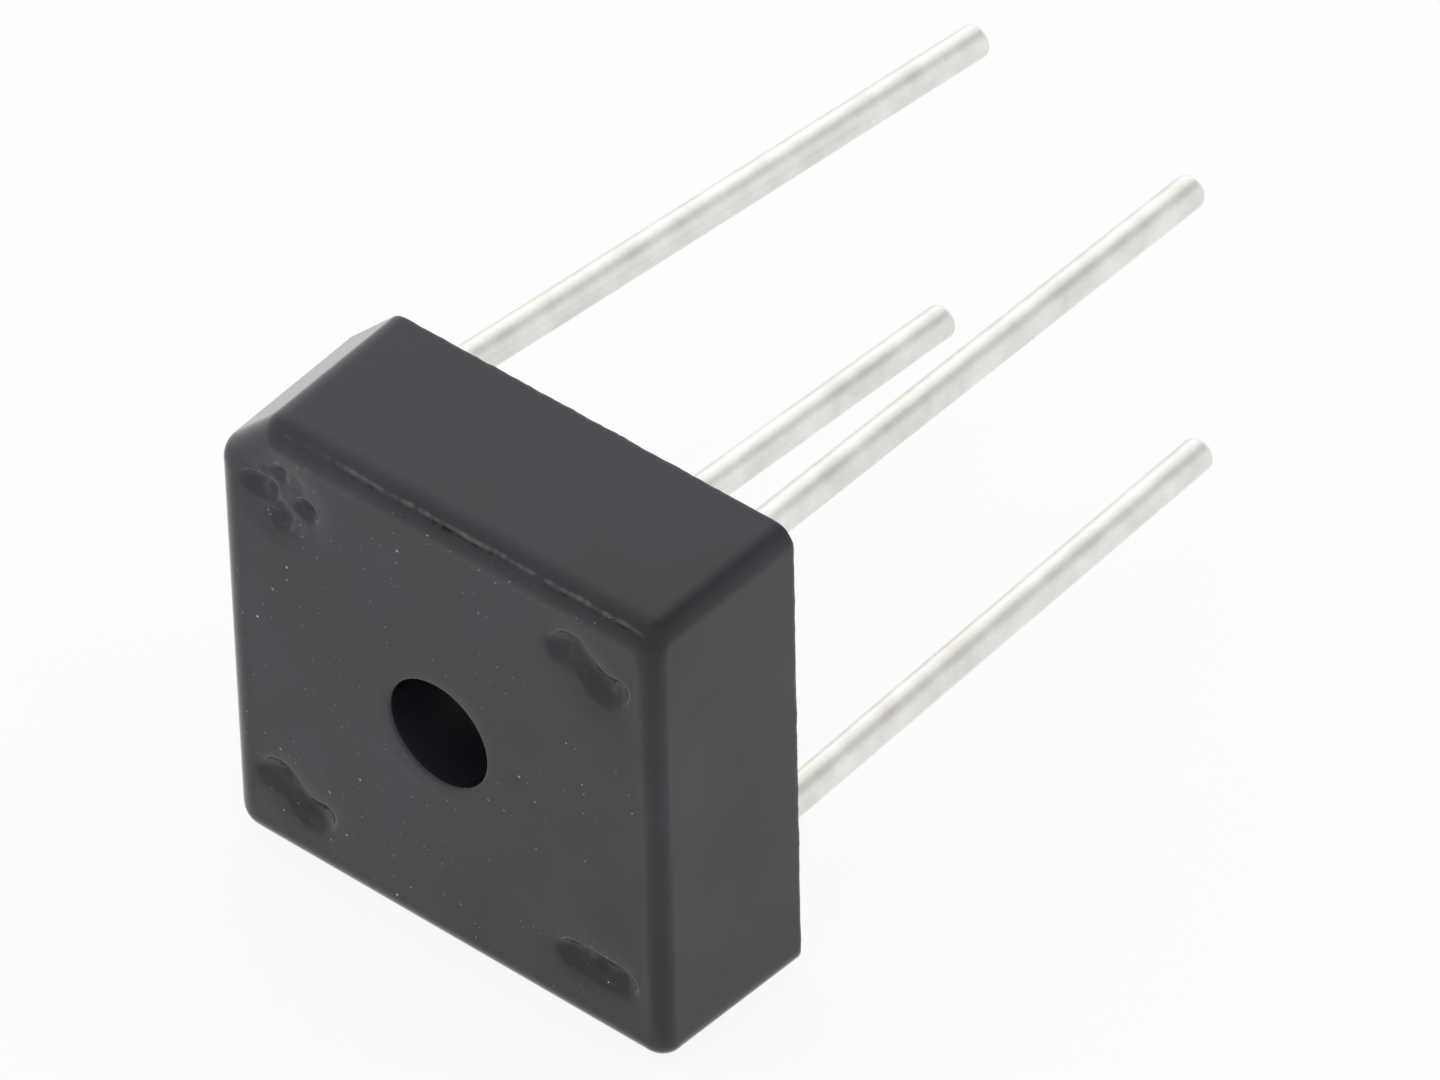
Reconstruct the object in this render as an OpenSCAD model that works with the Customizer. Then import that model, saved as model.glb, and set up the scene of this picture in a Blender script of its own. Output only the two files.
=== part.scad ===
// Bridge rectifier in a square moulded case with four wire leads and a through hole for one screw.
// The origin is the centre of the screw hole on the mounting face. The mounting face looks along -Y,
// the leads point along +Y, and the case stands on one of its narrow sides with +Z up.

/* [Case] */
// Side of the square case, at its open rear rim
case_w = 19; // [18:0.1:24]
// Depth of the case, from the mounting face to the rear rim
case_d = 6.8; // [5.6:0.1:9]
// How much each side wall draws in from the rear rim to the mounting face
draft = 0.12; // [0:0.01:0.2]
// Radius of the rounded edge around the mounting face
edge_r = 0.95; // [0.4:0.05:0.95]
// Radius of the case's corners at the mounting face
corner_r = 1; // [0.95:0.05:1.3]
// Radius of the case's corners at the rear rim
rim_corner_r = 0.75; // [0.6:0.05:1.3]
// Leg of the bevel on the positive corner
bevel = 2.35; // [1.8:0.05:2.9]
// Thickness of the mounting wall
face_wall = 1.2; // [1:0.05:1.6]
// Thickness of the side walls, at the rear rim
side_wall = 1.1; // [0.9:0.05:1.3]
// Radius of the corners of the cavity
cavity_corner_r = 0.5; // [0.2:0.1:0.8]

/* [Screw hole] */
// Diameter of the hole that the fixing screw passes through
hole_d = 4.1; // [3.2:0.05:4.9]
// Wall of the tube that lines the hole
tube_wall = 0.9; // [0.7:0.05:1.1]

/* [Polarity marks] */
// Distance between neighbouring marks, centre to centre
mark_pitch = 13; // [12.4:0.1:13.4]
// Length of each mark
mark_len = 3.3; // [2.4:0.1:3.8]
// Width of the strokes of the marks
mark_stroke = 0.95; // [0.6:0.05:1.1]
// Depth of the marks in the mounting face
mark_depth = 0.35; // [0.2:0.05:0.6]

/* [Leads] */
// Distance between neighbouring leads, centre to centre
lead_pitch = 12.7; // [12:0.1:13]
// Diameter of the lead wire
lead_d = 1.25; // [1:0.05:1.5]
// Length of each lead outside the case, along the wire
lead_len = 25.4; // [15:0.1:40]
// Straight length of each lead before its bend
lead_stub = 2; // [0.5:0.1:4]
// Chamfer on the cut end of each lead
tip_chamfer = 0.15; // [0.05:0.05:0.3]
// Diameter of the flattened head inside the case
head_d = 2.3; // [2:0.1:2.5]
// Thickness of the flattened head
head_t = 0.4; // [0.3:0.05:0.5]

/* [How far each lead is bent, and which way] */
// Lean of the positive lead, in degrees
plus_lean = 6.4; // [0.4:0.2:8]
// Way the positive lead leans, in degrees from +X towards +Z
plus_heading = 5; // [-180:1:180]
// Lean of the upper AC lead
ac_upper_lean = 4.6; // [0.4:0.2:8]
// Way the upper AC lead leans
ac_upper_heading = -123; // [-180:1:180]
// Lean of the lower AC lead
ac_lower_lean = 2.4; // [0.4:0.2:8]
// Way the lower AC lead leans
ac_lower_heading = -25; // [-180:1:180]
// Lean of the negative lead
minus_lean = 1.6; // [0.4:0.2:8]
// Way the negative lead leans
minus_heading = -158; // [-180:1:180]

/* [Inside the case] */
// Thickness of the heat spreader
spreader_t = 1.1; // [0.8:0.05:1.4]
// Gap between the heat spreader and the wall of the cavity
spreader_margin = 0.9; // [0.6:0.1:1.5]
// Resin between the heat spreader and the lead heads
insulation_t = 0.4; // [0.3:0.05:0.5]
// Thickness of the copper straps
strap_t = 0.5; // [0.4:0.05:0.6]
// Width of the copper straps
strap_w = 2.6; // [2.4:0.1:2.8]
// Side of a diode die
die_w = 2.2; // [1.6:0.1:2.4]
// Thickness of a diode die
die_t = 0.3; // [0.2:0.05:0.35]
// Thickness of the solder on each face of a die
solder_t = 0.1; // [0.05:0.05:0.15]
// Height of the solder fillet around a lead
fillet_h = 0.4; // [0.3:0.05:0.5]
// Depth of the resin's surface below the rear rim
fill_drop = 0.2; // [0.1:0.05:0.4]
// Clearance around the resin, and around a wire in its strap
bond_gap = 0.02; // [0.01:0.01:0.03]

/* [Hidden] */
// Each lead: its name, the turn from the upper right quarter to its own, its lean and its heading
LEADS = [
    ["plus", 90, plus_lean, plus_heading],
    ["ac_upper", 0, ac_upper_lean, ac_upper_heading],
    ["ac_lower", 180, ac_lower_lean, ac_lower_heading],
    ["minus", 270, minus_lean, minus_heading],
];
// Each diode die: its name and the turn from the right side of the case to its own
DICE = [["right", 0], ["top", 90], ["left", 180], ["bottom", 270]];

plastic = "#4c494d";
resin_black = "#2e2c2e";
copper = "#b8734a";
tinned = "#c8c6c1";
solder_grey = "#9b9da0";
silicon = "#6a6e78";

// Thin slice that ends a rounded hull
slice = 0.01;
// How much thicker than the wire a lead's knee is
knee_swell = 0.01;
// How far a cutter runs past the face that it opens
over = 1;
half_w = case_w / 2;
hole_r = hole_d / 2;
tube_r = hole_r + tube_wall;
lead_r = lead_d / 2;
mark_offset = mark_pitch / 2;
lead_offset = lead_pitch / 2;
resin_top = case_d - fill_drop;

// Depths of the layers, counted from the mounting face
spreader_y = face_wall;
dc_head_y = spreader_y + spreader_t + insulation_t;
dc_strap_y = dc_head_y + head_t;
front_solder_y = dc_strap_y + strap_t;
die_y = front_solder_y + solder_t;
rear_solder_y = die_y + die_t;
ac_strap_y = rear_solder_y + solder_t;

function strap_y(l) = l[0] == "plus" || l[0] == "minus" ? dc_strap_y : ac_strap_y;
function head_y(l) = strap_y(l) - head_t;

// Place of a lead across the case, from its turn
function lead_place(l) =
    lead_offset * [cos(l[1]) - sin(l[1]), sin(l[1]) + cos(l[1])];

// Centres of the corner rounds of a square with a bevelled upper left corner
function round_centres(half, leg, r) =
    let (inset = half - r, past = leg + (sqrt(2) - 1) * r)
    [
        [inset, inset],
        [inset, -inset],
        [-inset, -inset],
        [-inset, half - past],
        [past - half, inset],
    ];

// Leg of the bevel where the outline is drawn in by a wall's thickness
function inner_leg(wall) = bevel - wall * (2 - sqrt(2));

// Stands a shape drawn in X and Y up in X and Z, and turns its height to run along +Y
module along_y(y = 0) {
    translate([0, y, 0]) mirror([0, 1, 0]) rotate([90, 0, 0]) children();
}

// A slab of the case's outline drawn in by wall, with rounded corners
module inner_slab(wall, r, h) {
    hull() for (c = round_centres(half_w - wall, inner_leg(wall), r))
        translate(c) cylinder(r = r, h = h, $fn = 32);
}

// The rounded front end of one of the case's corners
module corner_post() {
    rotate_extrude($fn = 32) polygon(concat(
        [[0, edge_r], [0, 0]],
        [for (turn = [0 : 9 : 90]) [corner_r - edge_r * (1 - sin(turn)), edge_r * (1 - cos(turn))]]
    ));
}

module case_outside() {
    front_half = half_w - draft * (1 - edge_r / case_d);
    hull() {
        for (c = round_centres(front_half, bevel, corner_r))
            along_y() translate(c) corner_post();
        for (c = round_centres(half_w, bevel, rim_corner_r))
            along_y(case_d - slice) translate(c) cylinder(r = rim_corner_r, h = slice, $fn = 32);
    }
}

// A straight stroke with round ends
module stroke() {
    reach = (mark_len - mark_stroke) / 2;
    square([2 * reach, mark_stroke], center = true);
    for (side = [-1, 1]) translate([side * reach, 0]) circle(d = mark_stroke, $fn = 32);
}

module plus_mark() {
    for (turn = [0, 90]) rotate(turn) stroke();
}

// A wave of two half rings, with round ends
module tilde_mark() {
    mid_r = (mark_len - mark_stroke) / 4;
    outer_r = mid_r + mark_stroke / 2;
    for (turn = [0, 180]) rotate(turn) translate([-mid_r, 0]) {
        difference() {
            circle(r = outer_r, $fn = 48);
            circle(r = mid_r - mark_stroke / 2, $fn = 32);
            translate([-outer_r, -2 * outer_r]) square(2 * outer_r);
        }
        translate([-mid_r, 0]) circle(d = mark_stroke, $fn = 32);
    }
}

// Sinks a mark into the mounting face, in the quarter that its signs give
module sink(x_sign, z_sign) {
    along_y(-over) translate([x_sign * mark_offset, z_sign * mark_offset])
        linear_extrude(over + mark_depth) children();
}

module case() {
    color(plastic) difference() {
        case_outside();
        difference() {
            along_y(face_wall) inner_slab(side_wall, cavity_corner_r, case_d);
            along_y() cylinder(r = tube_r, h = 2 * case_d, $fn = 96);
        }
        along_y(-over) cylinder(r = hole_r, h = case_d + 2 * over, $fn = 96);
        sink(-1, 1) plus_mark();
        sink(1, 1) tilde_mark();
        sink(-1, -1) tilde_mark();
        sink(1, -1) stroke();
    }
}

// A round hole in the resin or a strap for a lead's wire
module wire_hole(l) {
    along_y() translate(lead_place(l)) cylinder(r = lead_r + bond_gap, h = 2 * case_d, $fn = 64);
}

module resin() {
    color(resin_black) difference() {
        along_y(face_wall)
            inner_slab(side_wall + bond_gap, cavity_corner_r, resin_top - face_wall);
        along_y() cylinder(r = tube_r + bond_gap, h = 2 * case_d, $fn = 96);
        heat_spreader();
        for (l = LEADS) {
            strap(l);
            lead_room(l);
        }
        for (d = DICE) die_stack_room(d);
    }
}

// The room that a lead, its head and its solder take in the resin
module lead_room(l) {
    along_y(head_y(l)) translate(lead_place(l)) {
        cylinder(r = head_d / 2 + bond_gap, h = head_t, $fn = 64);
        cylinder(r = lead_r + bond_gap, h = case_d, $fn = 64);
        translate([0, 0, head_t + strap_t]) fillet_cone(bond_gap);
    }
}

module die_stack_room(d) {
    at_die(d, front_solder_y) die_slab(2 * solder_t + die_t);
}

module heat_spreader() {
    color(copper) difference() {
        along_y(spreader_y) inner_slab(side_wall + spreader_margin, corner_r, spreader_t);
        along_y() cylinder(r = tube_r + bond_gap, h = 2 * case_d, $fn = 96);
    }
}

// An L of copper from a lead to the dice on the two sides of the case that meet at its corner
module strap(l) {
    reach = lead_offset + die_w / 2;
    color(copper) difference() {
        along_y(strap_y(l)) rotate(l[1]) linear_extrude(strap_t) {
            translate([lead_offset, lead_offset]) circle(d = strap_w, $fn = 64);
            translate([-die_w / 2, lead_offset - strap_w / 2]) square([reach, strap_w]);
            translate([lead_offset - strap_w / 2, -die_w / 2]) square([strap_w, reach]);
        }
        wire_hole(l);
    }
}

module fillet_cone(grow = 0) {
    cylinder(r1 = lead_r + fillet_h + grow, r2 = lead_r + solder_t + grow, h = fillet_h, $fn = 64);
}

module lead_solder(l) {
    color(solder_grey) difference() {
        along_y(strap_y(l) + strap_t) translate(lead_place(l)) fillet_cone();
        wire_hole(l);
    }
}

module at_die(d, y) {
    along_y(y) rotate(d[1]) translate([lead_offset, 0]) children();
}

module die_slab(h) {
    translate([0, 0, h / 2]) cube([die_w, die_w, h], center = true);
}

module die(d) {
    color(silicon) at_die(d, die_y) die_slab(die_t);
}

module die_solder(d, y) {
    color(solder_grey) at_die(d, y) die_slab(solder_t);
}

// The flattened head and the wire behind it, as far as the bend
module headed_wire(straight) {
    rotate_extrude($fn = 64) polygon([
        [0, 0], [head_d / 2, 0], [head_d / 2, head_t], [lead_r, head_t], [lead_r, straight], [0, straight],
    ]);
}

// The wire past the bend, from start on, with a chamfered tip
module free_wire(start) {
    end = lead_len - lead_stub;
    rotate_extrude($fn = 64) polygon([
        [0, start], [lead_r, start], [lead_r, end - tip_chamfer], [lead_r - tip_chamfer, end], [0, end],
    ]);
}

// A lead: two straight lengths that meet in a knee, which is a hair thicker than the wire
module lead(l) {
    bend = case_d + lead_stub - head_y(l);
    lean = l[2];
    inside_knee = lead_r * sin(lean);
    color(tinned) along_y(head_y(l)) translate(lead_place(l)) {
        headed_wire(bend - inside_knee);
        translate([0, 0, bend]) rotate(l[3]) rotate([0, lean, 0]) {
            sphere(r = lead_r + knee_swell, $fn = 64);
            free_wire(inside_knee);
        }
    }
}

case();
resin();
heat_spreader();
for (l = LEADS) {
    lead(l);
    strap(l);
    lead_solder(l);
}
for (d = DICE) {
    die(d);
    die_solder(d, front_solder_y);
    die_solder(d, rear_solder_y);
}
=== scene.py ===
"""Looks of a bridge rectifier: a square moulded case with sunk polarity marks, filled from behind with resin,
and four tinned wire leads. The mounting face is at Y = 0 and the leads run towards Y.
Lengths are in millimetres until a mesh is made, and MM turns them to metres."""

import math

import bmesh
import bpy
import numpy as np
from mathutils import Matrix, Vector


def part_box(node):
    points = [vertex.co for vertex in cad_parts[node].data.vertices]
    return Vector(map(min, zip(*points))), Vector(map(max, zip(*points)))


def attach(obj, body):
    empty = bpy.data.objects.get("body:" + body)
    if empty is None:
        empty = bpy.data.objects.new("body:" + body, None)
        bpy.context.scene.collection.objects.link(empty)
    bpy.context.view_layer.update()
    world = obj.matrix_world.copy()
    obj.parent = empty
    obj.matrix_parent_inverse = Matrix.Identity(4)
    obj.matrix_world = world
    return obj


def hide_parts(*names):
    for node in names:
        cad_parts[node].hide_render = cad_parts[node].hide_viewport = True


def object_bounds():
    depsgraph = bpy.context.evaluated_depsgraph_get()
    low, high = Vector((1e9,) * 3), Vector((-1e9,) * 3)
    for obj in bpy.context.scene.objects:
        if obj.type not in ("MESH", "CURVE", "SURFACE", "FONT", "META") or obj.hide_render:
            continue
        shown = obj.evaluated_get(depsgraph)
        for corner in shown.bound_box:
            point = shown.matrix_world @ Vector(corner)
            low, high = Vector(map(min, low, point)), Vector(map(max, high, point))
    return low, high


MM = 0.001

# Case, as the CAD model has it, but for the right side, whose edges are tighter
DRAFT = 0.12
EDGE_R = 0.95
RIGHT_EDGE_R = 0.66
# Corner radii at the mounting face: upper right, the two ends of the bevel, lower left, lower right
CORNER_R = np.array([0.72, 1.0, 1.0, 1.0, 0.9])
RIM_CORNER_R = 0.75
BEVEL_LEG = 2.35
FACE_WALL = 1.2
SIDE_WALL = 1.1
CAVITY_CORNER_R = 0.5
HOLE_R = 2.05
TUBE_R = 2.95
RIM_R = 0.12
# How far the mounting face dips between its high spots, and how far the rear rim is worn down
FACE_DIP = 0.006
RIM_WEAR = 0.07

# Moulding flash along the top of the front edge: how far round the edge it runs, in degrees, and its height,
# then how many degrees nearer the mounting face a groove runs beside it, and how deep that is
FLASH_TURN = 46
FLASH_RISE = 0.035
GROOVE_STEP = 9
GROOVE_DEPTH = 0.08

# Polarity marks, sunk into the mounting face: a plus, a minus and two waves, each in a shallow dish
MARK_OFFSET = 6.5
MINUS_REACH = 1.4
MARK_SPREAD = 0.52
PLUS_SPREAD = 0.42
PIT_DEPTH = 0.28
DISH_DEPTH = 0.12
DISH_SPREAD = 0.8
PLUS_DISH_R = 1.7
WAVE_REACH = 1.42
WAVE_RISE = 0.62
# Arms of the plus: the way each points in degrees, where it starts and ends, and its share of the depth
PLUS_ARMS = ((0, 0.8, 1.35, 1.4), (90, 0.8, 1.2, 1.1), (180, 0.3, 1.5, 0.95), (270, 0.35, 1.25, 0.8))

# Resin: its gap to the case, and how high and how far it creeps at the walls, the tube and the leads
RESIN_GAP = 0.02
WALL_CREEP = (0.13, 0.35)
TUBE_CREEP = (0.15, 0.35)
LEAD_CREEP = (0.3, 0.4)

# Leads: side of the case in X and Z, the free length's lean and heading in degrees, and its lumps' seed
LEADS = {
    "lead_plus": (-1, 1, 6.4, 5, 8),
    "lead_ac_upper": (1, 1, 4.6, -123, 14),
    "lead_ac_lower": (-1, -1, 2.4, -25, 12),
    "lead_minus": (1, -1, 1.6, -158, 11),
}
LEAD_OFFSET = 6.35
LEAD_R = 0.625
LEAD_LEN = 25.4
LEAD_STUB = 2.0
BEND_SOFTNESS = 1.6
TIP_R = 0.28
HEAD_R = 1.15
HEAD_T = 0.4
# Lumps in the tin coat, as a share of the wire's radius, and about how long each is
LUMP_SHARE = 0.004
LUMP_LEN = 2.4

# Camera: the point it looks at, its angles in degrees, its distance, and its focal length on a 36 mm sensor
AIM = (3.33, 10.21, 3.21)
AZIMUTH = 41.21
ELEVATION = 41.68
ROLL = -1.36
DISTANCE = 410.9
LENS = 317.8

# Studio: half the floor's width and the point that the lamps face, both in metres, then the way to the dimmer
# part of the room, and the room's strength as a light
FLOOR_HALF = 3.0
LIT_SPOT = (0, 0.008, 0)
DIM_WAY = (0.14, 0.56, 0.81)
ROOM_LIGHT = 0.75

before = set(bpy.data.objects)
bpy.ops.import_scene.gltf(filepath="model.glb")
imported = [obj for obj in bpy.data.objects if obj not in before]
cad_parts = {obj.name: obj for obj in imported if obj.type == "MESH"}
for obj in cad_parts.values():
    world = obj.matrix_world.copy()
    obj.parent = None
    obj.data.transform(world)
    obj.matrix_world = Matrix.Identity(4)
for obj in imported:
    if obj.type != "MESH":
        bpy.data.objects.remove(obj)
cad_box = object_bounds()
# Half the case's width, its depth, and how far back the resin fills it
HALF, DEPTH, _ = np.array(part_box("case")[1]) / MM
RESIN_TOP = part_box("resin")[1][1] / MM


# ---------------------------------------------------------------------------------------------- shapes


def smooth_step(low, high, value):
    """0 before low, 1 after high, and an S curve between; low may be above high."""
    t = np.clip((value - low) / (high - low), 0, 1)
    return t * t * (3 - 2 * t)


def ripple(u, v, wavelength, seed):
    """Uneven waves of about that wavelength over u and v, mostly between -1 and 1."""
    rng = np.random.default_rng(seed)
    waves = 9
    total = 0
    for _ in range(waves):
        turn = rng.uniform(0, 2 * math.pi)
        length = wavelength * rng.uniform(0.6, 1.7)
        along = (u * math.cos(turn) + v * math.sin(turn)) * 2 * math.pi / length
        total = total + np.cos(along + rng.uniform(0, 2 * math.pi))
    return total / (waves * 0.55)


def new_object(name, points, faces, material):
    """Mesh object from points in millimetres, smooth shaded, with its faces turned outwards."""
    mesh = bpy.data.meshes.new(name)
    mesh.from_pydata((np.asarray(points) * MM).tolist(), [], faces)
    shell = bmesh.new()
    shell.from_mesh(mesh)
    bmesh.ops.recalc_face_normals(shell, faces=shell.faces)
    shell.to_mesh(mesh)
    shell.free()
    mesh.polygons.foreach_set("use_smooth", [True] * len(mesh.polygons))
    mesh.materials.append(material)
    piece = bpy.data.objects.new(name, mesh)
    bpy.context.scene.collection.objects.link(piece)
    return piece


def loop_faces(rows, spokes, closed):
    """Quads between neighbouring rows of a grid of loops; closed joins the last row to the first."""
    faces = []
    for row in range(rows if closed else rows - 1):
        here, there = row * spokes, (row + 1) % rows * spokes
        for s in range(spokes):
            t = (s + 1) % spokes
            faces.append((here + s, here + t, there + t, there + s))
    return faces


def spoke_angles(count):
    """Directions around the screw hole, closer together to the upper right, whose edges show the most."""
    even = np.linspace(0, 2 * math.pi, 4096)
    crowding = 1.6 + 0.6 * np.cos(even - math.pi / 4)
    share = np.concatenate([[0], np.cumsum((crowding[1:] + crowding[:-1]) / 2)])
    return np.interp(np.arange(count) / count, share / share[-1], even)


def unit_circle(angles):
    """Points of a circle of radius 1 in those directions."""
    return np.column_stack([np.cos(angles), np.sin(angles)])


def level(flat, y):
    """Points given in X and Z, set at depth y."""
    return np.column_stack([flat[:, 0], np.broadcast_to(y, len(flat)), flat[:, 1]])


def outline(half, leg, radii, inset, angles):
    """Points, one in each direction, on a square with a bevelled upper left corner, drawn in by inset.
    The radii are the corners', anticlockwise from the upper right, before it is drawn in."""
    r = np.maximum(radii, inset + 0.05)
    past = leg + (math.sqrt(2) - 1) * r
    centres = [
        (half - r[0], half - r[0]),
        (past[1] - half, half - r[1]),
        (r[2] - half, half - past[2]),
        (r[3] - half, r[3] - half),
        (half - r[4], r[4] - half),
    ]
    sides = np.radians([0, 90, 135, 180, 270, 360])
    arcs = []
    for i, centre in enumerate(centres):
        arcs.append(centre + (r[i] - inset) * unit_circle(np.linspace(sides[i], sides[i + 1], 33)))
    rim = []
    for arc, following in zip(arcs, arcs[1:] + arcs[:1]):
        rim += [arc, arc[-1] + (following[0] - arc[-1]) * np.linspace(0, 1, 300)[1:-1, None]]
    rim = np.vstack(rim)
    theta = np.arctan2(rim[:, 1], rim[:, 0]) % (2 * math.pi)
    order = np.argsort(theta)
    reach = np.interp(angles, theta[order], np.hypot(*rim.T)[order], period=2 * math.pi)
    return unit_circle(angles) * reach[:, None]


# --------------------------------------------------------------------------------------- polarity marks


def straight_path(near, far, turn=0.0):
    """Points from near to far along a line through the middle, each at full depth; turn is in degrees."""
    a = math.radians(turn)
    return [(s * math.cos(a), s * math.sin(a), 1.0) for s in np.linspace(near, far, 19)]


def wave_path():
    """Evenly spaced points along the middle line of a wave with its crest to the left, shallower midway."""
    x = np.linspace(-WAVE_REACH, WAVE_REACH, 200)
    z = -WAVE_RISE * np.sin(math.pi * x / WAVE_REACH)
    length = np.concatenate([[0], np.cumsum(np.hypot(np.diff(x), np.diff(z)))])
    even = np.linspace(0, length[-1], 37)
    x, z = np.interp(even, length, x), np.interp(even, length, z)
    return list(zip(x, z, 0.6 + 0.4 * np.abs(z) / WAVE_RISE))


def closeness(x, z, path, spread):
    """Share of full depth on the middle line of a long path, falling off smoothly to 0 well away from it."""
    step = math.dist(path[0][:2], path[1][:2])
    total = sum(deep * np.exp(-((x - px) ** 2 + (z - pz) ** 2) / spread**2) for px, pz, deep in path)
    return total * step / (spread * math.sqrt(math.pi))


def pit(x, z, path, spread):
    """Share of a stroke's full depth: a firm upper right edge, and a floor that rises to the lower left."""
    wall = smooth_step(0.1, 0.45, closeness(x, z, path, spread))
    firm = closeness(x - 0.16, z - 0.19, path, 0.8 * spread)
    slack = closeness(x + 0.05, z + 0.05, path, 1.4 * spread)
    return wall * np.clip(0.7 * firm + 0.3 * slack, 0, 1.2)


def long_marks():
    """The marks of a single stroke, two waves and the minus: the middle of each in X and Z, and its path."""
    wave, minus = wave_path(), straight_path(-MINUS_REACH, MINUS_REACH)
    return [
        (MARK_OFFSET, MARK_OFFSET, wave),
        (-MARK_OFFSET, -MARK_OFFSET, wave),
        (MARK_OFFSET, -MARK_OFFSET, minus),
    ]


def mark_strokes():
    """Each stroke of the four marks: the middle of its mark, its path, its spread and its share of depth."""
    strokes = [(*mark, MARK_SPREAD, 1.0) for mark in long_marks()]
    for turn, near, far, share in PLUS_ARMS:
        strokes.append((-MARK_OFFSET, MARK_OFFSET, straight_path(near, far, turn), PLUS_SPREAD, share))
    return strokes


def mark_depth(x, z):
    """Depth of the four polarity marks at points of the mounting face, with slightly uneven floors."""
    from_plus = (x + MARK_OFFSET) ** 2 + (z - MARK_OFFSET) ** 2
    dishes = np.exp(-((from_plus / PLUS_DISH_R**2) ** 2))
    for at_x, at_z, path in long_marks():
        dishes = dishes + np.clip(closeness(x - at_x, z - at_z, path, DISH_SPREAD), 0, 1)
    pits = 0
    for at_x, at_z, path, spread, share in mark_strokes():
        pits = np.maximum(pits, share * pit(x - at_x, z - at_z, path, spread))
    uneven = 1 + 0.15 * ripple(x, z, 0.8, 4) + 0.06 * ripple(x, z, 0.42, 15)
    return (PIT_DEPTH * pits + DISH_DEPTH * dishes) * uneven


def sink_marks(mesh):
    """Cuts the faces around the strokes up finely, then presses the marks into the mounting face."""
    shell = bmesh.new()
    shell.from_mesh(mesh)
    x, y, z = np.array([face.calc_center_median() for face in shell.faces]).T / MM
    near = np.zeros(len(x), bool)
    for at_x, at_z, path, spread, _ in mark_strokes():
        near |= (y < EDGE_R) & (closeness(x - at_x, z - at_z, path, spread) > 0.04)
    # A dict keeps the edges in order, so that the mesh comes out the same each time
    edges = dict.fromkeys(edge for face, chosen in zip(shell.faces, near) if chosen for edge in face.edges)
    bmesh.ops.subdivide_edges(shell, edges=list(edges), cuts=2, use_grid_fill=True)
    shell.to_mesh(mesh)
    shell.free()
    points = np.empty(len(mesh.vertices) * 3, np.float32)
    mesh.vertices.foreach_get("co", points)
    x, y, z = points.reshape(-1, 3).T / MM
    points[1::3] += np.where(y < EDGE_R, mark_depth(x, z), 0) * MM
    mesh.vertices.foreach_set("co", points)
    mesh.update()


# ------------------------------------------------------------------------------------------------ case


def case_side(y, inset, angles):
    """Outline of the case at depth y, drawn in by inset."""
    radii = CORNER_R + (RIM_CORNER_R - CORNER_R) * max(y - EDGE_R, 0) / (DEPTH - EDGE_R)
    return outline(HALF - DRAFT * (1 - max(y, EDGE_R) / DEPTH), BEVEL_LEG, radii, inset, angles)


def cavity_wall(thickness, angles):
    """Outline of the cavity, with walls of that thickness all round."""
    leg = BEVEL_LEG - thickness * (2 - math.sqrt(2))
    return outline(HALF - thickness, leg, np.full(5, CAVITY_CORNER_R), 0, angles)


def rounded_edge(turn, angles):
    """Ring of the rounded edge, from the mounting face at 0 degrees to the sides at 90, and its depths."""
    a = math.radians(turn)
    # 0 along the right side, whose edge is tighter, and 1 along the others
    others = smooth_step(40, 47, np.degrees(np.abs(np.angle(np.exp(1j * angles)))))
    tight = case_side(0, RIGHT_EDGE_R * (1 - math.sin(a)), angles)
    loose = case_side(0, EDGE_R * (1 - math.sin(a)), angles)
    radius = RIGHT_EDGE_R + (EDGE_R - RIGHT_EDGE_R) * others
    return tight + (loose - tight) * others[:, None], radius * (1 - math.cos(a))


def flash_line(x, z, turn):
    """Broken ridge of flash along the top of the rounded edge, and the gouged groove beside it: the share of
    full size that each has at points so many degrees round the edge."""
    # Between the bevel and the right corner, and fainter over the first few millimetres
    on_top = smooth_step(8.6, 8.8, z) * smooth_step(-7.6, -6.0, x) * smooth_step(9.2, 8.6, x)
    on_top = on_top * (0.55 + 0.45 * smooth_step(-4.4, -3.2, x))
    ragged = 0.7 + 0.4 * ripple(x, 0, 1.6, 5) + 0.4 * ripple(x, 0, 0.35, 6)
    gouged = 0.5 + 0.5 * ripple(x, 0, 1.1, 9) + 0.4 * ripple(x, 0, 0.4, 10)
    past = turn - FLASH_TURN - 2.5 * ripple(x, 0, 2.2, 8)
    ridge = on_top * np.clip(ragged, 0.1, 1.4) * np.exp(-((past / (3 + 1.5 * ragged)) ** 2))
    groove = on_top * np.clip(gouged, 0, 1.4) * np.exp(-(((past + GROOVE_STEP) / 3.5) ** 2))
    return ridge, groove


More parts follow.
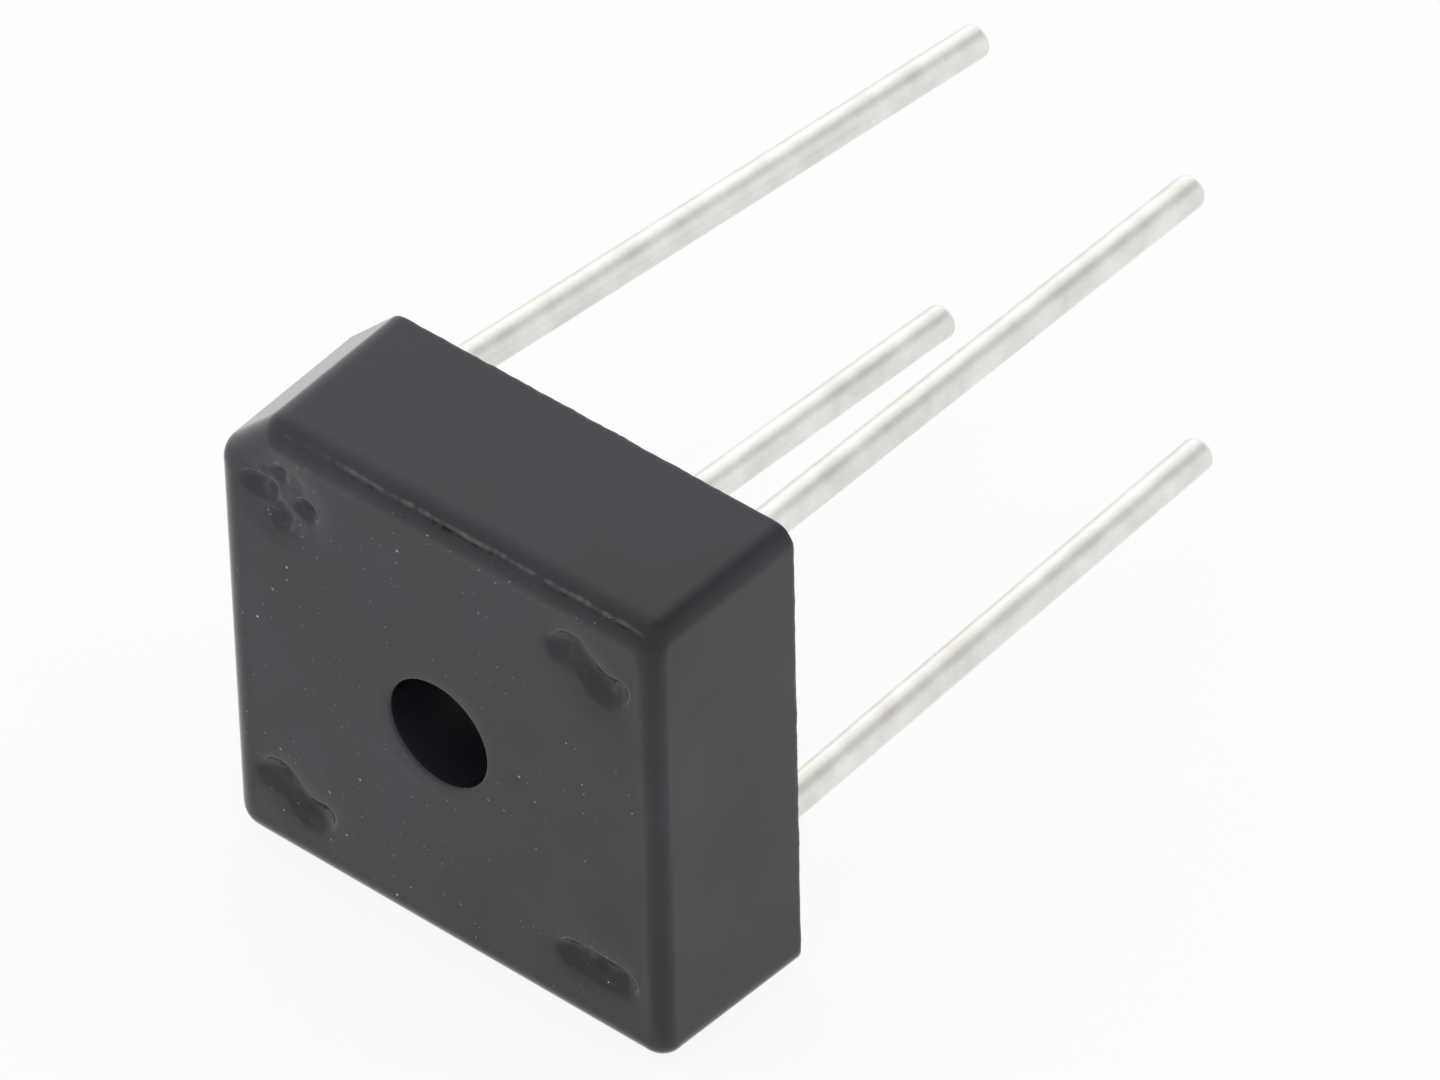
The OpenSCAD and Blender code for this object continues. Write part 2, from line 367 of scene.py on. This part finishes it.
def make_case(material):
    """One closed shell of rings around the screw hole: bore, face, edge, sides, rim, cavity and tube."""
    angles = spoke_angles(600)
    circle = unit_circle(angles)
    quarter = np.radians(np.linspace(0, 90, 5))
    rows, flash, painted_groove_shade = [], [], []

    def ring(flat, y, ridge=0.0, groove=0.0):
        """Adds the next ring of the shell, with the flash and the groove on it."""
        rows.append(level(flat, y))
        flash.append(np.broadcast_to(ridge, len(flat)))
        painted_groove_shade.append(np.broadcast_to(groove, len(flat)))

    # Bore, from the rear to the mounting face, with rounded mouths
    for a in quarter:
        ring(circle * (HOLE_R + RIM_R * (1 - math.sin(a))), DEPTH - RIM_R * (1 - math.cos(a)))
    for share in (0.04, 0.5, 0.96):
        ring(circle * HOLE_R, DEPTH - RIM_R - share * (DEPTH - 2 * RIM_R))
    for a in quarter:
        ring(circle * (HOLE_R + RIM_R * (1 - math.cos(a))), RIM_R * (1 - math.sin(a)))

    # Mounting face, gently uneven away from its edges, with the rings closer together where the marks will be
    inner, outer = circle * (HOLE_R + RIM_R), rounded_edge(0, angles)[0]
    for share in (*np.linspace(0, 0.5, 8)[1:], *np.linspace(0.5, 0.95, 37)[1:], 0.963, 0.976, 0.989):
        flat = inner + (outer - inner) * share
        settle = smooth_step(1, 0.95, share) * smooth_step(0, 0.05, share)
        ring(flat, FACE_DIP * settle * np.maximum(1 + ripple(*flat.T, 5.0, 3), 0))

    # Rounded edge, with the rings closer together along the flash, which stands out at 45 degrees
    for turn in (*np.linspace(0, 20, 5), *np.linspace(23, 57, 24), *np.linspace(61, 90, 6)):
        flat, y = rounded_edge(turn, angles)
        ridge, groove = flash_line(*flat.T, turn)
        lift = (FLASH_RISE * ridge - GROOVE_DEPTH * groove) * math.sqrt(0.5)
        ring(flat + np.column_stack([0 * lift, lift]), y - lift, ridge, groove)

    # Sides, then the slightly ragged rear rim
    for y in (1.1, 1.6, 3.2, 5.2, 6.3, DEPTH - 2 * RIM_R):
        ring(case_side(y, 0, angles), y)
    around = angles * HALF
    ragged = np.clip(0.5 + 0.35 * ripple(around, 0, 1.3, 11) + 0.25 * ripple(around, 0, 0.35, 14), 0, 1)
    for a in quarter:
        worn = math.sin(a) * ragged
        flat = case_side(DEPTH, RIM_R * (1 - math.cos(a)), angles) * (1 - 0.004 * worn)[:, None]
        ring(flat, DEPTH - RIM_R * (1 - math.sin(a)) - RIM_WEAR * worn)
    wall_top, wall_inside = case_side(DEPTH, RIM_R, angles), cavity_wall(SIDE_WALL, angles)
    for share in (0.25, 0.5, 0.75, 0.93):
        flat = wall_top + (wall_inside - wall_top) * share
        ring(flat, DEPTH - 0.025 + 0.02 * ripple(*flat.T, 1.8, 12))

    # Cavity wall, cavity floor and the outside of the tube
    for y in (DEPTH - 0.08, DEPTH - 0.4, FACE_WALL):
        ring(wall_inside, y)
    for y in (FACE_WALL, DEPTH - 0.4, DEPTH - 0.1):
        ring(circle * TUBE_R, y)
    ring(circle * (TUBE_R - 0.08), DEPTH - 0.02)
    ring(circle * ((TUBE_R + HOLE_R) / 2), DEPTH)

    case = new_object("moulded_case", np.vstack(rows), loop_faces(len(rows), len(angles), True), material)
    # The groove's share is stored for the material, which paints shade into the groove
    for name, values in (("flash", flash), ("painted_groove_shade", painted_groove_shade)):
        attribute = case.data.attributes.new(name, "FLOAT", "POINT")
        attribute.data.foreach_set("value", np.concatenate(values).astype(np.float32))
    sink_marks(case.data)
    return case


# ----------------------------------------------------------------------------------------------- resin


def creep(distance, high, far):
    """How high resin creeps at that distance from what it touches."""
    return high * np.exp(-np.maximum(distance, 0) / far)


def make_resin(material):
    """The cast resin: a closed shell that fills the cavity and creeps up whatever its surface touches."""
    angles = spoke_angles(480)
    wall = cavity_wall(SIDE_WALL + RESIN_GAP, angles)
    tube = unit_circle(angles) * (TUBE_R + RESIN_GAP)
    bottom, middle = FACE_WALL + RESIN_GAP, 4.0
    rows = [level(wall, bottom), level(wall, middle)]
    for share in (0, 0.01, 0.025, 0.045, *np.linspace(0.07, 0.93, 64), 0.955, 0.975, 0.99, 1):
        flat = wall + (tube - wall) * share
        x, z = flat.T
        rise = creep(np.hypot(*(wall - flat).T), *WALL_CREEP) + creep(np.hypot(*(tube - flat).T), *TUBE_CREEP)
        for side_x, side_z, *_ in LEADS.values():
            to_lead = np.hypot(x - side_x * LEAD_OFFSET, z - side_z * LEAD_OFFSET) - LEAD_R
            rise = rise + creep(to_lead, *LEAD_CREEP)
        rows.append(level(flat, RESIN_TOP + rise - 0.02 + 0.022 * ripple(x, z, 4.5, 21)))
    rows += [level(tube, middle), level(tube, bottom)]
    return new_object("cast_resin", np.vstack(rows), loop_faces(len(rows), len(angles), True), material)


# ----------------------------------------------------------------------------------------------- leads


def make_lead(name, material):
    """A drawn wire swept along its line: a flattened head, a straight stub, a soft bend and a free length."""
    side_x, side_z, lean, heading, seed = LEADS[name]
    lean, heading = math.radians(lean), math.radians(heading)
    way = np.array([math.sin(lean) * math.cos(heading), math.cos(lean), math.sin(lean) * math.sin(heading)])
    bend = np.array([side_x * LEAD_OFFSET, DEPTH + LEAD_STUB, side_z * LEAD_OFFSET])
    head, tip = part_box(name)[0][1] / MM - bend[1], LEAD_LEN - LEAD_STUB
    segments = 40
    turns = np.linspace(0, 2 * math.pi, segments, endpoint=False)

    def centre(s):
        """Point at a distance s past the bend, negative before it; the corner is rounded off."""
        along = (math.hypot(s, BEND_SOFTNESS) + s - BEND_SOFTNESS * math.exp(-abs(s) / BEND_SOFTNESS)) / 2
        along = max(along, 0)
        return bend + np.array([0, s - along, 0]) + way * along

    # Stations along the wire, each with its radius: the head, the lumpy length and the rounded tip
    step = 1e-3
    stations = [(head, 0.02), (head + step, HEAD_R), (head + HEAD_T, HEAD_R), (head + HEAD_T + step, LEAD_R)]
    for s in np.linspace(head + HEAD_T + 0.2, tip - TIP_R, 150):
        lumps = ripple(turns * LEAD_R, s, LUMP_LEN, seed)
        stations.append((s, LEAD_R * (1 - LUMP_SHARE * (1 + lumps))))
    for a in np.radians(np.linspace(10, 88, 8)):
        stations.append((tip - TIP_R * (1 - math.sin(a)), LEAD_R - TIP_R * (1 - math.cos(a))))

    rows = []
    for s, radius in stations:
        ahead = centre(s + 0.05) - centre(s - 0.05)
        ahead = ahead / np.linalg.norm(ahead)
        across = np.cross(ahead, [0, 0, 1])
        across = across / np.linalg.norm(across)
        circle = np.cos(turns)[:, None] * across + np.sin(turns)[:, None] * np.cross(across, ahead)
        rows.append(centre(s) + np.broadcast_to(radius, segments)[:, None] * circle)
    rows.append(centre(tip) + (rows[-1] - rows[-1].mean(0)) * 0.5)
    faces = loop_faces(len(rows), segments, False)
    faces += [tuple(range(segments)), tuple(range((len(rows) - 1) * segments, len(rows) * segments))]
    return new_object(name + "_wire", np.vstack(rows), faces, material)


# ------------------------------------------------------------------------------------------- materials


def colour(code):
    """Linear colour from an sRGB hex value."""
    parts = [int(code[i : i + 2], 16) / 255 for i in (1, 3, 5)]
    return (*(c / 12.92 if c <= 0.04045 else ((c + 0.055) / 1.055) ** 2.4 for c in parts), 1)


def add(tree, kind, inputs=None, stops=(), **settings):
    """Adds a node: settings go on the node, inputs are values, or the outputs that feed them, and stops are
    the place and colour of each end of a ramp."""
    made = tree.nodes.new(kind)
    for key, value in settings.items():
        setattr(made, key, value)
    for key, value in (inputs or {}).items():
        if isinstance(value, bpy.types.NodeSocket):
            tree.links.new(value, made.inputs[key])
        else:
            made.inputs[key].default_value = value
    for i, (place, code) in enumerate(stops):
        made.color_ramp.elements[i].position = place
        made.color_ramp.elements[i].color = colour(code)
    return made


def new_material(name):
    """Empty node material, and its tree."""
    material = bpy.data.materials.new(name)
    material.use_nodes = True
    material.node_tree.nodes.clear()
    return material, material.node_tree


def moulded_epoxy():
    """Black mineral-filled epoxy, transfer moulded and deflashed: matte and near black with a faint purple
    cast. Its haze is the surface's reflection, so it greys where it's seen at a slant. Pale dust and pits dot
    the mounting face."""
    material, tree = new_material("moulded_epoxy")
    place = add(tree, "ShaderNodeTexCoord").outputs["Object"]
    # Tone that drifts over about 6 mm, from uneven flow in the mould, and painted shade that makes it paler
    # to the upper left and rear, following how the light falls on the case
    drift = add(tree, "ShaderNodeTexNoise", {
        "Vector": place, "Scale": 1 / (6 * MM), "Detail": 3.0, "Roughness": 0.55})
    # Painted shade: a steady gradient, paler to the upper left and to the rear
    lean = add(tree, "ShaderNodeVectorMath", {
        0: place, 1: (-0.018 / MM, 0.03 / MM, 0.014 / MM)}, operation="DOT_PRODUCT")
    drift_and_painted_shade = add(tree, "ShaderNodeMath", {
        0: lean.outputs["Value"], 1: drift.outputs["Fac"]}, operation="ADD")
    tone = add(tree, "ShaderNodeValToRGB", {
        "Fac": drift_and_painted_shade.outputs[0]}, stops=((0.3, "#100911"), (0.7, "#25202a")))
    # Dust and pits 0.04 to 0.14 mm wide with soft rims, one to a cell of 0.7 mm, in a fifth of the cells
    flat = add(tree, "ShaderNodeMapping", {"Vector": place, "Rotation": (math.pi / 2, 0, 0)})
    cells = add(tree, "ShaderNodeTexVoronoi", {
        "Vector": flat.outputs["Vector"], "Scale": 1 / (0.7 * MM), "Randomness": 1.0},
        voronoi_dimensions="2D")
    lucky = add(tree, "ShaderNodeSeparateColor", {"Color": cells.outputs["Color"]})
    size = add(tree, "ShaderNodeMapRange", {
        "Value": lucky.outputs["Red"], "From Min": 0.78, "From Max": 1.0, "To Min": 0.03, "To Max": 0.1})
    core = add(tree, "ShaderNodeMath", {0: size.outputs["Result"], 1: 0.3}, operation="MULTIPLY")
    speck = add(tree, "ShaderNodeMapRange", {
        "Value": cells.outputs["Distance"], "From Min": size.outputs["Result"], "From Max": core.outputs[0]})
    # Specks lie on the mounting face, in loose clusters that thin out towards the upper right
    spot = add(tree, "ShaderNodeSeparateXYZ", {"Vector": place})
    on_face = add(tree, "ShaderNodeMath", {0: spot.outputs["Y"], 1: 0.25 * MM}, operation="LESS_THAN")
    cluster = add(tree, "ShaderNodeTexNoise", {"Vector": place, "Scale": 1 / (3.5 * MM), "Detail": 1.0})
    thinning = add(tree, "ShaderNodeVectorMath", {
        0: place, 1: (-0.01 / MM, 0, -0.006 / MM)}, operation="DOT_PRODUCT")
    thinned = add(tree, "ShaderNodeMath", {
        0: thinning.outputs["Value"], 1: cluster.outputs["Fac"]}, operation="ADD")
    crowded = add(tree, "ShaderNodeMath", {0: thinned.outputs[0], 1: 0.46}, operation="GREATER_THAN")
    placed = add(tree, "ShaderNodeMath", {0: on_face.outputs[0], 1: crowded.outputs[0]}, operation="MULTIPLY")
    dust = add(tree, "ShaderNodeMath", {
        0: speck.outputs["Result"], 1: placed.outputs[0]}, operation="MULTIPLY")
    # Moulding flash: rubbed paler where it stands proud, and the groove beside it painted near black as shade
    flash = add(tree, "ShaderNodeAttribute", attribute_name="flash")
    rubbed = add(tree, "ShaderNodeMapRange", {
        "Value": flash.outputs["Fac"], "From Min": 0.2, "From Max": 1.2, "To Min": 0.0, "To Max": 0.5})
    # Painted shade: the groove beside the flash is mixed towards near black
    painted_groove_shade = add(tree, "ShaderNodeAttribute", attribute_name="painted_groove_shade")
    groove_painted_dark = add(tree, "ShaderNodeMix", {
        0: painted_groove_shade.outputs["Fac"], "A": tone.outputs["Color"], "B": colour("#050405")}, data_type="RGBA")
    pale = add(tree, "ShaderNodeMix", {
        0: rubbed.outputs["Result"], "A": groove_painted_dark.outputs["Result"], "B": colour("#6d6b68")}, data_type="RGBA")
    bright = add(tree, "ShaderNodeMath", {0: lucky.outputs["Green"], 1: 3.0}, operation="POWER")
    speck_tone = add(tree, "ShaderNodeMix", {
        0: bright.outputs[0], "A": colour("#5d5b5c"), "B": colour("#cfccc6")}, data_type="RGBA")
    dusty = add(tree, "ShaderNodeMix", {
        0: dust.outputs[0], "A": pale.outputs["Result"], "B": speck_tone.outputs["Result"]}, data_type="RGBA")
    # Fine grain from the mould's spark-eroded steel, about 0.05 mm, and softer unevenness of about 0.6 mm
    grain = add(tree, "ShaderNodeTexNoise", {"Vector": place, "Scale": 1 / (0.05 * MM), "Detail": 2.0})
    swell = add(tree, "ShaderNodeTexNoise", {"Vector": place, "Scale": 1 / (0.6 * MM), "Detail": 2.0})
    uneven = add(tree, "ShaderNodeBump", {
        "Height": swell.outputs["Fac"], "Strength": 0.25, "Distance": 0.02 * MM})
    rough = add(tree, "ShaderNodeBump", {
        "Height": grain.outputs["Fac"], "Strength": 0.25, "Distance": 0.004 * MM,
        "Normal": uneven.outputs["Normal"]})
    # At a slant the grain hides itself, and the surface shines
    slant = add(tree, "ShaderNodeLayerWeight")
    haze = add(tree, "ShaderNodeMapRange", {
        "Value": slant.outputs["Facing"], "From Min": 0.55, "From Max": 0.85, "To Min": 0.36, "To Max": 0.1})
    shader = add(tree, "ShaderNodeBsdfPrincipled", {
        "Base Color": dusty.outputs["Result"], "Roughness": haze.outputs["Result"], "IOR": 1.46,
        "Normal": rough.outputs["Normal"]})
    add(tree, "ShaderNodeOutputMaterial", {"Surface": shader.outputs["BSDF"]})
    return material


def cast_epoxy():
    """Black epoxy poured and left to level: smoother and glossier than the case, with slow ripples."""
    material, tree = new_material("cast_epoxy")
    place = add(tree, "ShaderNodeTexCoord").outputs["Object"]
    # Tone and gloss drift over about 3 mm, and fine filler just under the skin shows at about 0.4 mm
    drift = add(tree, "ShaderNodeTexNoise", {"Vector": place, "Scale": 1 / (3 * MM), "Detail": 2.0})
    tone = add(tree, "ShaderNodeValToRGB", {
        "Fac": drift.outputs["Fac"]}, stops=((0.35, "#1b1a1c"), (0.65, "#232124")))
    gloss = add(tree, "ShaderNodeMapRange", {"Value": drift.outputs["Fac"], "To Min": 0.22, "To Max": 0.36})
    fine = add(tree, "ShaderNodeTexNoise", {"Vector": place, "Scale": 1 / (0.4 * MM), "Detail": 2.0})
    skin = add(tree, "ShaderNodeBump", {
        "Height": fine.outputs["Fac"], "Strength": 0.2, "Distance": 0.01 * MM})
    shader = add(tree, "ShaderNodeBsdfPrincipled", {
        "Base Color": tone.outputs["Color"], "Roughness": gloss.outputs["Result"], "IOR": 1.55,
        "Normal": skin.outputs["Normal"]})
    add(tree, "ShaderNodeOutputMaterial", {"Surface": shader.outputs["BSDF"]})
    return material


def tinned_wire():
    """Drawn copper wire with a dipped tin coat: satin silver, warm where the coat is thin, with faint lumps
    and scuffs, and shinier where it's seen at a slant."""
    material, tree = new_material("tin_plated_copper_wire")
    place = add(tree, "ShaderNodeTexCoord").outputs["Object"]
    # Drawing lines run along the wire, some 0.08 mm apart and several millimetres long
    stretch = add(tree, "ShaderNodeMapping", {"Vector": place, "Scale": (1, 0.03, 1)})
    lines = add(tree, "ShaderNodeTexNoise", {
        "Vector": stretch.outputs["Vector"], "Scale": 1 / (0.08 * MM), "Detail": 2.0})
    # The coat is thick and thin by turns, over about 1.4 mm
    patches = add(tree, "ShaderNodeTexNoise", {"Vector": place, "Scale": 1 / (1.4 * MM), "Detail": 3.0})
    tone = add(tree, "ShaderNodeValToRGB", {
        "Fac": patches.outputs["Fac"]}, stops=((0.3, "#d8d6d0"), (0.7, "#ecebe6")))
    satin = add(tree, "ShaderNodeMapRange", {"Value": patches.outputs["Fac"], "To Min": 0.26, "To Max": 0.42})
    slant = add(tree, "ShaderNodeLayerWeight")
    shine = add(tree, "ShaderNodeMapRange", {
        "Value": slant.outputs["Facing"], "From Min": 0.6, "From Max": 0.95, "To Min": 1.0, "To Max": 0.35})
    haze = add(tree, "ShaderNodeMath", {
        0: satin.outputs["Result"], 1: shine.outputs["Result"]}, operation="MULTIPLY")
    drawn = add(tree, "ShaderNodeBump", {
        "Height": lines.outputs["Fac"], "Strength": 0.3, "Distance": 0.006 * MM})
    lumps = add(tree, "ShaderNodeBump", {
        "Height": patches.outputs["Fac"], "Strength": 0.5, "Distance": 0.04 * MM,
        "Normal": drawn.outputs["Normal"]})
    shader = add(tree, "ShaderNodeBsdfPrincipled", {
        "Base Color": tone.outputs["Color"], "Metallic": 1.0, "Roughness": haze.outputs[0],
        "Normal": lumps.outputs["Normal"]})
    add(tree, "ShaderNodeOutputMaterial", {"Surface": shader.outputs["BSDF"]})
    return material


def sealed_finish(name, dark, light, metallic, roughness, grain_mm):
    """Finish of a sealed-in piece: a mottled tone between two colours, with grain of that size."""
    material, tree = new_material(name)
    place = add(tree, "ShaderNodeTexCoord").outputs["Object"]
    mottle = add(tree, "ShaderNodeTexNoise", {"Vector": place, "Scale": 1 / (grain_mm * MM), "Detail": 3.0})
    tone = add(tree, "ShaderNodeValToRGB", {"Fac": mottle.outputs["Fac"]}, stops=((0.3, dark), (0.7, light)))
    skin = add(tree, "ShaderNodeBump", {
        "Height": mottle.outputs["Fac"], "Strength": 0.3, "Distance": 0.01 * MM})
    shader = add(tree, "ShaderNodeBsdfPrincipled", {
        "Base Color": tone.outputs["Color"], "Metallic": metallic, "Roughness": roughness,
        "Normal": skin.outputs["Normal"]})
    add(tree, "ShaderNodeOutputMaterial", {"Surface": shader.outputs["BSDF"]})
    return material


def seen_rays(tree):
    """Adds the tree's light paths, and a share that is 1 for rays from the eye, in gloss or through glass."""
    path = add(tree, "ShaderNodeLightPath")
    direct = add(tree, "ShaderNodeMath", {
        0: path.outputs["Is Camera Ray"], 1: path.outputs["Is Glossy Ray"]}, operation="MAXIMUM")
    seen = add(tree, "ShaderNodeMath", {
        0: direct.outputs[0], 1: path.outputs["Is Transmission Ray"]}, operation="MAXIMUM")
    return path, seen.outputs[0]


def white_paper():
    """Seamless white paper: plain white to the eye and in reflections, with a soft shadow."""
    material, tree = new_material("white_paper")
    _, seen = seen_rays(tree)
    share = add(tree, "ShaderNodeMath", {0: seen, 1: 0.9}, operation="MULTIPLY")
    paper = add(tree, "ShaderNodeBsdfDiffuse", {"Color": colour("#fafafa")})
    glow = add(tree, "ShaderNodeEmission", {"Color": (1, 1, 1, 1), "Strength": 1.0})
    mixed = add(tree, "ShaderNodeMixShader", {0: share.outputs[0], 1: paper.outputs[0], 2: glow.outputs[0]})
    add(tree, "ShaderNodeOutputMaterial", {"Surface": mixed.outputs[0]})
    return material


# ---------------------------------------------------------------------------------------------- studio


def make_floor():
    """A square of paper under the part."""
    z = cad_box[0][2]
    corners = [(x * FLOOR_HALF, y * FLOOR_HALF, z) for x, y in ((-1, -1), (1, -1), (1, 1), (-1, 1))]
    mesh = bpy.data.meshes.new("floor")
    mesh.from_pydata(corners, [], [(0, 1, 2, 3)])
    mesh.materials.append(white_paper())
    paper = bpy.data.objects.new("floor", mesh)
    bpy.context.scene.collection.objects.link(paper)
    return paper


def softbox(name, spot, width, power, mirrored):
    """Square area lamp at spot, in metres, turned to the part; only a mirrored one shows in gloss."""
    lamp = bpy.data.lights.new(name, "AREA")
    lamp.shape = "SQUARE"
    lamp.size = width
    lamp.energy = power
    holder = bpy.data.objects.new(name, lamp)
    holder.location = spot
    holder.visible_glossy = mirrored
    holder.rotation_euler = (Vector(spot) - Vector(LIT_SPOT)).to_track_quat("Z", "Y").to_euler()
    bpy.context.scene.collection.objects.link(holder)


def light_room():
    """White room, which reflections find a little darker overhead, behind the part."""
    world = bpy.data.worlds.new("studio")
    bpy.context.scene.world = world
    world.use_nodes = True
    tree = world.node_tree
    tree.nodes.clear()
    path, seen = seen_rays(tree)
    around = add(tree, "ShaderNodeTexCoord").outputs["Generated"]
    towards = add(tree, "ShaderNodeVectorMath", {0: around, 1: DIM_WAY}, operation="DOT_PRODUCT")
    dim = add(tree, "ShaderNodeMapRange", {
        "Value": towards.outputs["Value"], "From Min": 0.7, "From Max": 0.97, "To Min": 1.0, "To Max": 0.7},
        interpolation_type="SMOOTHSTEP")
    shown = add(tree, "ShaderNodeMix", {
        0: path.outputs["Is Glossy Ray"], "A": 1.0, "B": dim.outputs["Result"]}, data_type="FLOAT")
    strength = add(tree, "ShaderNodeMix", {
        0: seen, "A": ROOM_LIGHT, "B": shown.outputs["Result"]}, data_type="FLOAT")
    background = add(tree, "ShaderNodeBackground", {
        "Color": (1, 1, 1, 1), "Strength": strength.outputs["Result"]})
    add(tree, "ShaderNodeOutputWorld", {"Surface": background.outputs[0]})


def set_camera():
    """Long lens, looking down on the front right edge of the case, and turned a little about its own axis."""
    azimuth, elevation, roll = (math.radians(a) for a in (AZIMUTH, ELEVATION, ROLL))
    level_back = Vector((math.sin(azimuth), -math.cos(azimuth), 0))
    back = level_back * math.cos(elevation) + Vector((0, 0, math.sin(elevation)))
    level_right = Vector((math.cos(azimuth), math.sin(azimuth), 0))
    level_up = back.cross(level_right)
    right = level_right * math.cos(roll) + level_up * math.sin(roll)
    up = level_up * math.cos(roll) - level_right * math.sin(roll)
    turned = Matrix((right, up, back)).transposed().to_4x4()
    turned.translation = (Vector(AIM) + back * DISTANCE) * MM
    lens = bpy.data.cameras.new("camera")
    lens.sensor_width = 36
    lens.lens = LENS
    camera = bpy.data.objects.new("camera", lens)
    camera.matrix_world = turned
    bpy.context.scene.collection.objects.link(camera)
    bpy.context.scene.camera = camera


# -------------------------------------------------------------------------------------------- the part

epoxy, resin_finish, tin = moulded_epoxy(), cast_epoxy(), tinned_wire()
copper = sealed_finish("rolled_copper", "#b36a45", "#cf8a62", 1.0, 0.35, 0.8)
solder = sealed_finish("soft_solder", "#84868a", "#a5a7ab", 1.0, 0.45, 0.3)
silicon = sealed_finish("glass_passivated_silicon", "#4d515c", "#6b6f7a", 0.0, 0.2, 0.6)

pieces = {"case": (make_case(epoxy), "case_plastic"), "resin": (make_resin(resin_finish), "potting_resin")}
for lead in LEADS:
    pieces[lead] = (make_lead(lead, tin), "tinned_wire")
for node, (piece, slot) in pieces.items():
    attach(piece, "root")
    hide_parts(node)

# Finish of each sealed-in piece, by the first word of its name; "lead" is the solder that holds each lead
sealed = {"heat": copper, "strap": copper, "lead": solder, "front": solder, "rear": solder, "die": silicon}
for node, cad_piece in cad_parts.items():
    if node not in pieces:
        for slot in cad_piece.material_slots:
            slot.material = sealed[node.split("_")[0]]

floor = make_floor()
softbox("softbox_left", (-0.30, -0.26, 0.12), 0.46, 0.42, False)
softbox("softbox_right", (0.34, 0.16, 0.14), 0.46, 0.42, False)
softbox("softbox_top", (-0.23, 0.23, 0.25), 0.5, 0.3, True)
light_room()
set_camera()
bpy.context.scene.view_settings.view_transform = "Standard"
